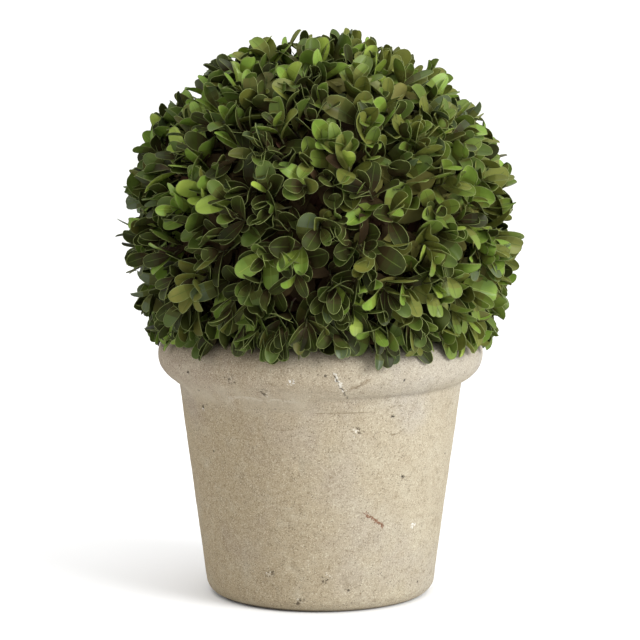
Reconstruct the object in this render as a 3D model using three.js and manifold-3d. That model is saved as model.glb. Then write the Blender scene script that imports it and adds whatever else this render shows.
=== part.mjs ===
// A box topiary ball: one dense, clipped ball of small box leaves on a short hidden stem,
// standing in a tapered round pot with a thick rolled rim.
// Millimetres, +Z up. The origin is the middle of the pot's flat underside.
import * as THREE from "three";
import { mergeVertices } from "three/addons/utils/BufferGeometryUtils.js";
import Module from "manifold-3d";

const wasm = await Module();
wasm.setup();

// Pot: an 8 inch pot, whose wall leans out as it rises into a rim rolled like a rope.
const RIM_DIAMETER = 203;
const POT_HEIGHT = 166.3;
const BASE_DIAMETER = 140.4; // where the line of the wall meets the ground
const WALL_LEAN = 0.136; // outward run of the wall for each millimetre of height
const WALL_THICKNESS = 11;
const FLOOR_THICKNESS = 12;
const FOOT_ROUND = 9.6; // radius of the edge between the wall and the underside
const ROLL_RADIUS = 16; // section of the rolled rim
const NECK_ROUND = 2.5; // hollow fillet where the roll meets the wall
const INNER_ROUND = 6; // fillet between the inner wall and the floor
const POT_SIDES = 48;
const ROLL_STEPS = 12; // facets along the section of the roll
const FOOT_STEPS = 5;
const FILLET_STEPS = 3;

// Potting mix and stem, both hidden by the foliage.
const MIX_TOP = 147;
const STEM_FOOT_RADIUS = 11;
const STEM_NECK_RADIUS = 7.5;
const STEM_TIP_RADIUS = 5.5;
const STEM_FLARE_HEIGHT = 12;
const STEM_HEIGHT = 44;
const STEM_SIDES = 12;
const CLEARANCE = 0.3; // between pieces that rest on or run through each other
const MERGE_DISTANCE = 1e-3;

// Ball: a core with sprigs standing out of it, whose leaf tips were clipped to a sphere.
const BALL_RADIUS = 125; // to the leaf tips
const BALL_CENTRE = new THREE.Vector3(0, 0, 226);
const STRAY_REACH = 4; // how far the longest sprigs stand past the sphere
const STRAY_SHARE = 0.15;
const CORE_RADIUS = 104;
const CORE_DETAIL = 4;
const CORE_ROUGHNESS = 2.5; // how far a corner of the core may stand in or out
const CORE_FOOT = POT_HEIGHT + 1; // the core is cut flat here, just above the rim
const SEED = 57;
const SPRIG_COUNT = 71;
const LOWEST_SPRIG = -0.42; // cosine of the angle from the top at which the even cover ends
const COVER_STAND = [4, 9]; // least and greatest length of a twig outside the core
const SPRIG_ROOT_DEPTH = 9; // how far a twig is sunk in the core
const TWIG_RADIUS = 1.9;
const TWIG_TIP_RADIUS = 1.1;
const TWIG_SIDES = 3;
const SKIRT_COUNT = 27; // sprigs round the foot of the ball, whose leaves hang over the rim
const SKIRT_SLOPE = -0.46; // cosine of its angle from the top
const SKIRT_STAND = [3, 7];
const SKIRT_PLAY = 0.2; // how far a sprig may wander along the ring, in shares of their spacing
const LEAF_LENGTH = 31; // larger than life, because each stands for several
const LEAF_WIDTH = 19;
const LEAF_SHOULDER = [0.4, 0.41]; // a corner of the outline, in shares of the length and the width
const LEAF_WIDEST = [0.78, 0.47];
const LEAF_CROWN = 1.5; // height of the ridge above the leaf's edges
const SMALLEST_LEAF = 0.55; // as a share of the largest
const LEAF_TRIES = 12;
const TURN_PLAY = 0.35; // how far a leaf's place round its twig may wander, in radians
const SPREAD_PLAY = 0.22;
const TWIG_SWAY = 0.12;
const RIM_GAP = 0.9; // least distance of a leaf from the rim

// Where each leaf of a sprig sits: a share of the twig's length, an angle round it, and the angle
// that it opens from it. Box leaves grow in pairs, each pair crossing the last, and one at the tip.
const CROSSED_PAIRS = [
  [0.68, 0, 1.22],
  [0.68, Math.PI, 1.22],
  [0.84, Math.PI / 2, 1.02],
  [0.84, -Math.PI / 2, 1.02],
  [0.97, Math.PI / 4, 0.62],
];
const HANGING_FAN = [
  [0.62, -1.25, 0.95],
  [0.62, 1.25, 0.95],
  [0.85, 0, 0.62],
];

const rollCentreRadius = RIM_DIAMETER / 2 - ROLL_RADIUS;
const rollCentreHeight = POT_HEIGHT - ROLL_RADIUS;
const slant = Math.hypot(1, WALL_LEAN);

// A repeatable stream of numbers from 0 to 1, each the remainder of a multiple of the last.
const STREAM_MULTIPLIER = 48271;
const STREAM_MODULUS = 2147483647;
let streamState = SEED;
function random() {
  streamState = (streamState * STREAM_MULTIPLIER) % STREAM_MODULUS;
  return streamState / STREAM_MODULUS;
}
const between = (low, high) => low + (high - low) * random();

// Points of an arc in the plane of a lathe profile, from one angle to another.
function arc(centreRadius, centreHeight, radius, from, to, steps) {
  return Array.from({ length: steps + 1 }, (_, i) => {
    const angle = from + ((to - from) * i) / steps;
    return new THREE.Vector2(
      centreRadius + radius * Math.cos(angle),
      centreHeight + radius * Math.sin(angle),
    );
  });
}

const outerRadius = (height) => BASE_DIAMETER / 2 + WALL_LEAN * height;
const innerRadius = (height) => outerRadius(height) - WALL_THICKNESS * slant;

// A profile turned about the vertical axis.
function turned(profile, sides) {
  return new THREE.LatheGeometry(profile, sides).rotateX(Math.PI / 2);
}

// Centre of the fillet that touches the wall outside and the roll from below.
function neckCentre() {
  const offset = BASE_DIAMETER / 2 + NECK_ROUND * slant - rollCentreRadius;
  const a = slant ** 2;
  const b = 2 * (offset * WALL_LEAN - rollCentreHeight);
  const c = offset ** 2 + rollCentreHeight ** 2 - (ROLL_RADIUS + NECK_ROUND) ** 2;
  const height = (-b - Math.sqrt(b * b - 4 * a * c)) / (2 * a);
  return new THREE.Vector2(outerRadius(height) + NECK_ROUND * slant, height);
}

function potGeometry() {
  const leanAngle = Math.atan(WALL_LEAN);
  const footRadius = outerRadius(FOOT_ROUND) - FOOT_ROUND * slant;
  const neck = neckCentre();
  const rollStart = Math.atan2(neck.y - rollCentreHeight, neck.x - rollCentreRadius);
  const lipRound = rollCentreRadius - innerRadius(POT_HEIGHT);
  const floorCorner = innerRadius(FLOOR_THICKNESS + INNER_ROUND) - INNER_ROUND;
  const profile = [
    new THREE.Vector2(0, 0),
    ...arc(footRadius, FOOT_ROUND, FOOT_ROUND, -Math.PI / 2, -leanAngle, FOOT_STEPS),
    ...arc(neck.x, neck.y, NECK_ROUND, Math.PI - leanAngle, rollStart + Math.PI, FILLET_STEPS),
    ...arc(rollCentreRadius, rollCentreHeight, ROLL_RADIUS, rollStart, Math.PI / 2, ROLL_STEPS).slice(1),
    ...arc(rollCentreRadius, POT_HEIGHT - lipRound, lipRound, Math.PI / 2, Math.PI, FILLET_STEPS).slice(1),
    ...arc(floorCorner, FLOOR_THICKNESS + INNER_ROUND, INNER_ROUND, 0, -Math.PI / 2, FILLET_STEPS),
    new THREE.Vector2(0, FLOOR_THICKNESS),
  ];
  return turned(profile, POT_SIDES);
}

// The mix fills the pot from its floor to below the rim.
function mixGeometry() {
  const foot = FLOOR_THICKNESS + CLEARANCE;
  const corner = innerRadius(foot + INNER_ROUND) - INNER_ROUND - CLEARANCE;
  return turned(
    [
      new THREE.Vector2(0, foot),
      ...arc(corner, foot + INNER_ROUND, INNER_ROUND, -Math.PI / 2, 0, FILLET_STEPS),
      new THREE.Vector2(innerRadius(MIX_TOP) - 2 * CLEARANCE, MIX_TOP),
      new THREE.Vector2(0, MIX_TOP),
    ],
    POT_SIDES,
  );
}

// The stem's outline, grown on all sides by a gap: flared at the ground, then tapering to its tip.
function stemProfile(gap) {
  const ground = MIX_TOP + CLEARANCE;
  const foot = ground - gap;
  const tip = ground + STEM_HEIGHT + gap;
  return [
    new THREE.Vector2(0, foot),
    new THREE.Vector2(STEM_FOOT_RADIUS + gap, foot),
    new THREE.Vector2((STEM_FOOT_RADIUS + STEM_NECK_RADIUS) / 2 + gap, ground + STEM_FLARE_HEIGHT / 3),
    new THREE.Vector2(STEM_NECK_RADIUS + gap, ground + STEM_FLARE_HEIGHT),
    new THREE.Vector2(STEM_TIP_RADIUS + gap, tip),
    new THREE.Vector2(0, tip),
  ];
}

// A geometry whose faces share their corners.
function cornersOnly(geometry) {
  const bare = geometry.clone();
  bare.deleteAttribute("normal");
  bare.deleteAttribute("uv");
  return mergeVertices(bare, MERGE_DISTANCE);
}

// A closed geometry as a solid that can be joined and cut.
function solid(geometry) {
  const merged = cornersOnly(geometry);
  return new wasm.Manifold(
    new wasm.Mesh({
      numProp: 3,
      vertProperties: merged.attributes.position.array,
      triVerts: new Uint32Array(merged.index.array),
    }),
  );
}

function geometryOf(shape) {
  const mesh = shape.getMesh();
  const positions = new Float32Array(mesh.numVert * 3);
  for (let i = 0; i < mesh.numVert; i++) {
    positions.set(mesh.vertProperties.subarray(i * mesh.numProp, i * mesh.numProp + 3), 3 * i);
  }
  const geometry = new THREE.BufferGeometry();
  geometry.setAttribute("position", new THREE.BufferAttribute(positions, 3));
  geometry.setIndex(new THREE.BufferAttribute(mesh.triVerts, 1));
  return geometry;
}

// A leaf along +X from its root, with its upper side to +Z: an egg-shaped outline of six corners,
// folded a little along the midrib, and flat underneath.
function leafCorners(length, width) {
  const edge = ([along, aside], side) =>
    new THREE.Vector3(along * length, side * aside * width, -LEAF_CROWN);
  return [
    new THREE.Vector3(0, 0, 0),
    edge(LEAF_SHOULDER, 1),
    edge(LEAF_WIDEST, 1),
    new THREE.Vector3(length, 0, -LEAF_CROWN / 4),
    edge(LEAF_WIDEST, -1),
    edge(LEAF_SHOULDER, -1),
  ];
}
const LEAF_FACES = [0, 3, 2, 0, 2, 1, 0, 4, 3, 0, 5, 4, 0, 1, 5, 1, 4, 5, 1, 2, 4, 2, 3, 4];

function leafGeometry(corners) {
  return new THREE.BufferGeometry().setFromPoints(corners).setIndex(LEAF_FACES);
}

// The pot and its mix grown by the rim gap: no leaf or twig may enter it.
function keepClear() {
  const lipRound = rollCentreRadius - innerRadius(POT_HEIGHT);
  const roll = arc(rollCentreRadius, rollCentreHeight, ROLL_RADIUS + RIM_GAP, 0, Math.PI / 2, ROLL_STEPS);
  const lipCentre = POT_HEIGHT - lipRound;
  const lip = arc(rollCentreRadius, lipCentre, lipRound + RIM_GAP, Math.PI / 2, Math.PI, FILLET_STEPS);
  const ground = MIX_TOP + RIM_GAP;
  return solid(
    turned(
      [
        new THREE.Vector2(0, 0),
        new THREE.Vector2(roll[0].x, 0),
        ...roll,
        ...lip.slice(1),
        new THREE.Vector2(innerRadius(ground) - RIM_GAP, ground),
        new THREE.Vector2(0, ground),
      ],
      POT_SIDES,
    ),
  );
}

// The placement whose X runs along a direction and whose Z is as near as it can be to an upper side.
function placement(origin, along, upper) {
  const side = new THREE.Vector3().crossVectors(upper, along).normalize();
  const normal = new THREE.Vector3().crossVectors(along, side);
  return new THREE.Matrix4().makeBasis(along, side, normal).setPosition(origin);
}

// How far a line runs from a point inside a sphere about the ball's centre until it leaves it.
function distanceOut(point, direction, radius) {
  const from = point.clone().sub(BALL_CENTRE);
  const nearest = from.dot(direction);
  return Math.sqrt(nearest ** 2 - from.lengthSq() + radius ** 2) - nearest;
}

// One leaf on a twig, grown until its tip meets the clipped sphere: the first of several tries
// that touches neither the pot nor a leaf already placed, or nothing where none has room.
function leafOnTwig(twig, [share, turn, spread], clear, placed) {
  const root = twig.root.clone().lerp(twig.tip, share);
  for (let tries = 0; tries < LEAF_TRIES; tries++) {
    const angle = twig.firstTurn + turn + between(-TURN_PLAY, TURN_PLAY);
    const open = spread + between(-SPREAD_PLAY, SPREAD_PLAY);
    const outward = twig.sideA
      .clone()
      .multiplyScalar(Math.cos(angle))
      .addScaledVector(twig.sideB, Math.sin(angle));
    const along = twig.axis
      .clone()
      .multiplyScalar(Math.cos(open))
      .addScaledVector(outward, Math.sin(open));
    const length = Math.min(distanceOut(root, along, twig.reach), LEAF_LENGTH);
    if (length < SMALLEST_LEAF * LEAF_LENGTH) continue;
    const place = placement(root, along, twig.axis);
    const width = (LEAF_WIDTH * (LEAF_LENGTH + length)) / (2 * LEAF_LENGTH); // a short leaf is rounder
    const corners = leafCorners(length, width).map((corner) => corner.applyMatrix4(place));
    const leaf = solid(leafGeometry(corners));
    const heart = corners[0].clone().lerp(corners[3], 0.5);
    const blade = leaf.subtract(twig.rod);
    const touches = (other) =>
      other.heart.distanceTo(heart) < LEAF_LENGTH && !blade.intersect(other.leaf).isEmpty();
    if (!leaf.intersect(clear).isEmpty() || placed.some(touches)) continue;
    placed.push({ leaf, heart });
    return leaf;
  }
  return null;
}

// A sprig: a twig that stands out of the core in a direction, and its leaves.
function sprig(direction, stand, leafPlaces, firstTurn, clear, placed) {
  const root = direction.clone().multiplyScalar(CORE_RADIUS - SPRIG_ROOT_DEPTH).add(BALL_CENTRE);
  const sway = () => between(-TWIG_SWAY, TWIG_SWAY);
  const axis = direction.clone().add(new THREE.Vector3(sway(), sway(), sway())).normalize();
  const twigLength = SPRIG_ROOT_DEPTH + stand;
  const tip = root.clone().addScaledVector(axis, twigLength);
  const sideA = new THREE.Vector3(0, 0, 1).cross(axis).normalize();
  const sideB = new THREE.Vector3().crossVectors(axis, sideA);
  const reach = BALL_RADIUS + (random() < STRAY_SHARE ? between(0, STRAY_REACH) : 0);
  const rod = solid(
    new THREE.CylinderGeometry(TWIG_TIP_RADIUS, TWIG_RADIUS, twigLength, TWIG_SIDES)
      .translate(0, twigLength / 2, 0)
      .rotateZ(-Math.PI / 2)
      .applyMatrix4(placement(root, axis, sideA)),
  );
  if (!rod.intersect(clear).isEmpty()) return [];
  const twig = { rod, root, tip, axis, sideA, sideB, reach, firstTurn };
  const leaves = leafPlaces.map((place) => leafOnTwig(twig, place, clear, placed)).filter(Boolean);
  return leaves.length ? [rod, ...leaves] : [];
}

// Sprigs spread evenly over the ball, from its top down to where the skirt begins.
function coverSprigs(clear, placed) {
  const goldenAngle = Math.PI * (3 - Math.sqrt(5));
  return Array.from({ length: SPRIG_COUNT }, (_, i) => {
    const z = 1 - ((i + 0.5) / SPRIG_COUNT) * (1 - LOWEST_SPRIG);
    const flat = Math.sqrt(1 - z * z);
    const turn = i * goldenAngle;
    const direction = new THREE.Vector3(flat * Math.cos(turn), flat * Math.sin(turn), z);
    return sprig(direction, between(...COVER_STAND), CROSSED_PAIRS, between(0, Math.PI), clear, placed);
  }).flat();
}

// The skirt: sprigs in a ring just above the rim, with leaves that fan out downwards over it.
function skirtSprigs(clear, placed) {
  const flat = Math.sqrt(1 - SKIRT_SLOPE ** 2);
  return Array.from({ length: SKIRT_COUNT }, (_, i) => {
    const turn = ((i + between(-SKIRT_PLAY, SKIRT_PLAY)) * 2 * Math.PI) / SKIRT_COUNT;
    const direction = new THREE.Vector3(flat * Math.cos(turn), flat * Math.sin(turn), SKIRT_SLOPE);
    return sprig(direction, between(...SKIRT_STAND), HANGING_FAN, -Math.PI / 2, clear, placed);
  }).flat();
}

// The core: a rough ball, cut flat just above the rim and hollowed for the stem.
function coreSolid() {
  const rough = cornersOnly(new THREE.IcosahedronGeometry(CORE_RADIUS, CORE_DETAIL));
  const corners = rough.attributes.position;
  for (let i = 0; i < corners.count; i++) {
    const corner = new THREE.Vector3().fromBufferAttribute(corners, i);
    corner.setLength(CORE_RADIUS + between(-CORE_ROUGHNESS, CORE_ROUGHNESS)).add(BALL_CENTRE);
    corners.setXYZ(i, corner.x, corner.y, corner.z);
  }
  const underCore = new THREE.BoxGeometry(4 * CORE_RADIUS, 4 * CORE_RADIUS, 2 * CORE_FOOT);
  return solid(rough)
    .subtract(solid(underCore))
    .subtract(solid(turned(stemProfile(CLEARANCE), STEM_SIDES)));
}

function foliageGeometry() {
  const clear = keepClear();
  const placed = [];
  const sprigs = [...skirtSprigs(clear, placed), ...coverSprigs(clear, placed)];
  return geometryOf(wasm.Manifold.union([coreSolid(), ...sprigs]));
}

function mesh(name, geometry, colour, roughness) {
  const material = new THREE.MeshStandardMaterial({ color: colour, roughness, metalness: 0 });
  const made = new THREE.Mesh(geometry, material);
  made.name = name;
  return made;
}

const topiary = new THREE.Group();
topiary.name = "box_topiary_ball";
topiary.add(
  mesh("pot", potGeometry(), 0xbdb095, 0.95),
  mesh("potting_mix", mixGeometry(), 0x3a2c20, 1),
  mesh("stem", turned(stemProfile(0), STEM_SIDES), 0x6b5a42, 0.9),
  mesh("foliage_ball", foliageGeometry(), 0x40602a, 0.6),
);

export default topiary;
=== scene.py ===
"""A clipped ball of box in its cast pot, photographed on a pale floor in soft daylight.

Metres, +Z up, the origin in the middle of the pot's flat underside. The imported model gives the
sizes; the pieces here stand for its pot, potting mix, stem and ball of foliage.
"""
import math
from collections import namedtuple
from functools import reduce

import bpy
import numpy as np
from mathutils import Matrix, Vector


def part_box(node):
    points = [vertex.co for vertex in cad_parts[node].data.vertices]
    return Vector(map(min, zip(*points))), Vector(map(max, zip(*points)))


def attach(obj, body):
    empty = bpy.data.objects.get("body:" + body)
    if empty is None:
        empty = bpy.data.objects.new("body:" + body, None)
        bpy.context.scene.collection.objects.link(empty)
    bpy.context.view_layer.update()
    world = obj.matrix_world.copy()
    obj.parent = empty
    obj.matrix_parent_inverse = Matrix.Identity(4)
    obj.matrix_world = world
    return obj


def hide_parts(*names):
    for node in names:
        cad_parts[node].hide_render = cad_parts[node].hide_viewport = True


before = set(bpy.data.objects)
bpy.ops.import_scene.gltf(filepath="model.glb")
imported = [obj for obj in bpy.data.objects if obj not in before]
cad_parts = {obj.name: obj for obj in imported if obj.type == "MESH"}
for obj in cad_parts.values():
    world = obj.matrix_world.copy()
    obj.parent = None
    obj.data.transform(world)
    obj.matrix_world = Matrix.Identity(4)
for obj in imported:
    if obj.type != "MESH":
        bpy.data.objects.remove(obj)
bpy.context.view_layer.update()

MM = 0.001
TINY = 1e-6  # heights this near are the same
GOLDEN_ANGLE = math.pi * (3 - math.sqrt(5))
DOWN = np.array([[0, 0, -1.0]])

# Pot
pot_low, pot_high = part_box("pot")
RIM_RADIUS = (pot_high.x - pot_low.x) / 2
POT_HEIGHT = pot_high.z
WALL_FOOT_RADIUS = 70.2 * MM  # where the line of the wall meets the ground
WALL_LEAN = 0.136
WALL_THICKNESS = 11 * MM
FLOOR_THICKNESS = 12 * MM
FOOT_ROUND = 9.6 * MM
ROLL_RADIUS = 16 * MM
NECK_ROUND = 1.2 * MM
INNER_ROUND = 6 * MM
SLANT = math.hypot(1, WALL_LEAN)
ROLL_CENTRE = np.array([RIM_RADIUS - ROLL_RADIUS, POT_HEIGHT - ROLL_RADIUS])
SLIP_DEPTH = 7 * MM  # how far down the wall the slip under the roll reaches
RELIEF_INSET = 0.5 * MM  # how far inside the solid's surface the cast one lies, for its swells

# Potting mix and stem
mix_low, mix_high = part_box("potting_mix")
stem_low, stem_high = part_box("stem")
CLEARANCE = 0.4 * MM  # that the mix and the leaves keep to the pot
STEM_FOOT_RADIUS = (stem_high.x - stem_low.x) / 2
STEM_NECK_RADIUS = 7.5 * MM
STEM_TIP_RADIUS = 5.5 * MM
STEM_FLARE = 12 * MM

# Ball. A slope is the upward part of a direction of length 1.
BALL_RADIUS = 125 * MM
BALL_CENTRE = np.array([0, 0, 226 * MM])
STRAY_REACH = 4 * MM
COVER_BRANCHES = 71
COVER_SLOPE = -0.42  # the lowest
SKIRT_BRANCHES = 27
SKIRT_SLOPE = -0.46
SKIRT_DROOP = 0.08  # how much lower its sprigs' slope is at the front and the back
SKIRT_STANDS_OUT = 4 * MM
SPRIG_SLOPE = -0.58  # the lowest
BRANCH_REACH = 74 * MM  # from the middle of the ball to a branch's tip
BOUGHS = 12
BOUGH_SLOPE = -0.35  # the lowest
BOUGH_REACH = 40 * MM
SPRIGS_ON_BRANCH = 6
SPRIG_SPREAD = 0.175
SPRIG_LEAN = 0.26
SPRIG_LENGTH = 21 * MM
PAIRS_ON_SPRIG = 5
LEAF_LENGTH = 23.2 * MM
LEAF_BREADTH = 0.48  # of the length
LOWEST_LEAF = 151 * MM
LEFT_OUT = 0.14  # the share of the leaves that is missing
OLD_WITHIN = 107 * MM  # leaves whose tips lie nearer to the ball's middle are old and shaded
INNER_ON_TWIG = 12
INNER_WITHIN = BALL_RADIUS - 10 * MM

rng = np.random.default_rng(57)


def unit(vectors):
    """Vectors brought to length 1, along their last axis."""
    return vectors / np.maximum(np.linalg.norm(vectors, axis=-1, keepdims=True), 1e-12)


def helpers(axes, steep):
    """A direction that isn't near each axis: up, or +X for the axes whose slope is steep."""
    return np.where(np.abs(axes[:, 2:3]) < steep, [[0.0, 0.0, 1.0]], [[1.0, 0.0, 0.0]])


def swung(first, second, angle):
    """The first of two vectors that are square to each other, swung towards the second: cos a
    times the first plus sin a times the second."""
    angle = angle[..., None]
    return np.cos(angle) * first + np.sin(angle) * second


NOISE_PRIMES = np.array([73856093, 19349663, 83492791])  # they scatter the points of the lattice


def smooth_noise(points, size, seed):
    """Value noise from -1 to 1: random values on a cubic lattice of that size, and between the
    lattice points their blend by the smooth step 3x² - 2x³ along each axis."""
    values = np.random.default_rng(seed).uniform(-1, 1, 4096)
    scaled = np.asarray(points) / size
    cell = np.floor(scaled).astype(np.int64)
    blend = scaled - cell
    blend = blend * blend * (3 - 2 * blend)
    total = 0
    for corner in np.ndindex(2, 2, 2):
        corner = np.array(corner)
        mixed = np.bitwise_xor.reduce((cell + corner) * NOISE_PRIMES, axis=-1)
        weight = np.prod(np.where(corner == 1, blend, 1 - blend), axis=-1)
        total = total + values[mixed % len(values)] * weight
    return total


# Objects and meshes


def placed(name, data, place, towards):
    """A lamp or camera at a place, looking in a direction."""
    item = bpy.data.objects.new(name, data)
    item.location = place
    item.rotation_euler = towards.to_track_quat("-Z", "Y").to_euler()
    bpy.context.scene.collection.objects.link(item)
    return item


def mesh_piece(name, vertices, faces, finish, smooth=True):
    """An object at the origin from a list of points and arrays of faces, each array with one
    number of corners."""
    mesh = bpy.data.meshes.new(name)
    corners = np.concatenate([part.ravel() for part in faces]).astype(np.int32)
    totals = np.concatenate([np.full(len(part), part.shape[1]) for part in faces]).astype(np.int32)
    starts = np.cumsum(totals) - totals
    mesh.vertices.add(len(vertices))
    mesh.vertices.foreach_set("co", np.asarray(vertices, np.float32).ravel())
    mesh.loops.add(len(corners))
    mesh.loops.foreach_set("vertex_index", corners)
    mesh.polygons.add(len(totals))
    mesh.polygons.foreach_set("loop_start", starts.astype(np.int32))
    mesh.polygons.foreach_set("use_smooth", np.full(len(totals), smooth))
    mesh.update(calc_edges=True)
    mesh.validate()
    mesh.materials.append(finish)
    piece = bpy.data.objects.new(name, mesh)
    bpy.context.scene.collection.objects.link(piece)
    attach(piece, "root")
    return piece


def grid_quads(rows, columns, count=1, closed=False):
    """The quads of several grids that lie one after another in a list of points, row by row.
    A closed grid's last column joins its first."""
    row = np.arange(rows - 1)[:, None] * columns
    next_row = row + columns
    column = np.arange(columns if closed else columns - 1)[None, :]
    following = (column + 1) % columns
    corners = [row + column, row + following, next_row + following, next_row + column]
    one = np.stack(corners, axis=-1).reshape(-1, 4)
    shift = np.arange(count)[:, None, None] * rows * columns
    return (one[None] + shift).reshape(-1, 4)


def arc(centre, radius, start, stop, steps):
    """Points of a circle in the plane of a profile: centre + radius (cos a, sin a)."""
    angle = np.linspace(start, stop, steps + 1)
    return np.asarray(centre) + radius * np.stack([np.cos(angle), np.sin(angle)], axis=-1)


def evenly(profile, spacing):
    """The points of a profile dealt out again at an even spacing along it."""
    steps = np.linalg.norm(np.diff(profile, axis=0), axis=1)
    along = np.concatenate([[0], np.cumsum(steps)])
    count = max(2, int(round(along[-1] / spacing)) + 1)
    wanted = np.linspace(0, along[-1], count)
    return np.stack([np.interp(wanted, along, profile[:, k]) for k in (0, 1)], axis=-1)


def line(start, end, spacing):
    return evenly(np.array([start, end]), spacing)


def lathe(profile, columns, relief, second=None, share=None):
    """A profile of (radius, height) carried round the axis: (r cos a, r sin a, z). A second profile
    may be blended in by a share that depends on the angle. Each point is then pushed along the
    profile's own normal by relief(points). The profile starts and ends on the axis, where a fan of
    triangles closes each pole."""
    tangent = unit(np.gradient(profile, axis=0))
    normal = np.stack([tangent[:, 1], -tangent[:, 0]], axis=-1)
    angle = np.arange(columns) * 2 * math.pi / columns
    outward = np.stack([np.cos(angle), np.sin(angle)], axis=-1)

    def turned(flat):
        heights = np.broadcast_to(flat[:, None, 1:], (len(flat), columns, 1))
        return np.concatenate([flat[:, None, :1] * outward, heights], axis=-1)

    points = turned(profile)
    if second is not None:
        points = points + turned(second - profile) * share(angle)[None, :, None]
    points = points + turned(normal) * relief(points)[..., None]
    rings = points[1:-1]
    first_pole, last_pole = points[0].mean(0), points[-1].mean(0)
    vertices = np.concatenate([rings.reshape(-1, 3), [first_pole, last_pole]])
    ring = np.arange(columns)
    following = (ring + 1) % columns
    last_ring = (len(rings) - 1) * columns
    first_fan = [np.full(columns, len(vertices) - 2), following, ring]
    last_fan = [np.full(columns, len(vertices) - 1), last_ring + ring, last_ring + following]
    fans = np.concatenate([np.stack(first_fan, axis=-1), np.stack(last_fan, axis=-1)])
    return vertices, [grid_quads(len(rings), columns, closed=True), fans]


def tubes(start, end, lean_out, lean_in, radii, rings, sides):
    """Limbs along cubic curves, B(t) = (1-t)³ P0 + 3(1-t)² t P1 + 3(1-t) t² P2 + t³ P3, where P1
    and P2 are the two ends moved by lean_out and lean_in. A ring of points stands square to each
    curve at even steps of t. Its radius goes evenly from the first of two radii to the second, and
    one flat face closes each end."""
    t = np.linspace(0, 1, rings)[None, :, None]
    p0, p3 = start[:, None], end[:, None]
    p1, p2 = p0 + lean_out[:, None], p3 + lean_in[:, None]
    path = (1 - t) ** 3 * p0 + 3 * (1 - t) ** 2 * t * p1 + 3 * (1 - t) * t**2 * p2 + t**3 * p3
    tangent = unit(np.gradient(path, axis=1))
    side = unit(np.cross(helpers(unit(end - start), 0.8)[:, None], tangent))
    across = np.cross(tangent, side)
    radius = (radii[0] + (radii[1] - radii[0]) * t)[..., None]
    angle = np.arange(sides) * 2 * math.pi / sides
    points = path[:, :, None] + radius * swung(side[:, :, None], across[:, :, None], angle)
    first = np.arange(len(end))[:, None] * rings * sides
    cap = np.arange(sides)[None]
    caps = np.concatenate([first + cap[:, ::-1], first + (rings - 1) * sides + cap])
    return points.reshape(-1, 3), [grid_quads(rings, sides, len(end), closed=True), caps]


# Finishes

MIX_FIRST, MIX_SECOND, MIX_RESULT = 6, 7, 2  # the Mix node's sockets for colours


def operators(operation):
    """An arithmetic operator of amounts and its reflected form."""
    return (
        lambda self, other: self.worked_out(operation, self, other),
        lambda self, other: self.worked_out(operation, other, self),
    )


class Amount:
    """A number or colour that varies over a surface. Arithmetic on it adds Math nodes."""

    __add__, __radd__ = operators("ADD")
    __sub__, __rsub__ = operators("SUBTRACT")
    __mul__, __rmul__ = operators("MULTIPLY")
    __truediv__, __rtruediv__ = operators("DIVIDE")

    def __init__(self, finish, socket):
        self.finish = finish
        self.socket = socket

    def worked_out(self, operation, *values):
        return self.finish.add("ShaderNodeMath", dict(enumerate(values)), operation=operation)

    def smaller(self, other):
        return self.worked_out("MINIMUM", self, other)

    def above(self, low, high):
        """0 under low, 1 over high, and a smooth step between them. With low over high it falls."""
        values = {"Value": self, "From Min": low, "From Max": high, "To Min": 0.0, "To Max": 1.0}
        return self.finish.add("ShaderNodeMapRange", values, interpolation_type="SMOOTHSTEP")


class Nodes:
    """A tree of nodes."""

    def __init__(self, tree):
        self.tree = tree

    def add(self, kind, values, output=0, **settings):
        """Any node: its settings come first, then the values or links of its sockets."""
        node = self.tree.nodes.new(kind)
        for setting, value in settings.items():
            setattr(node, setting, value)
        for socket, value in values.items():
            if isinstance(value, Amount):
                self.tree.links.new(value.socket, node.inputs[socket])
            else:
                node.inputs[socket].default_value = value
        return Amount(self, node.outputs[output])


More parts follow.
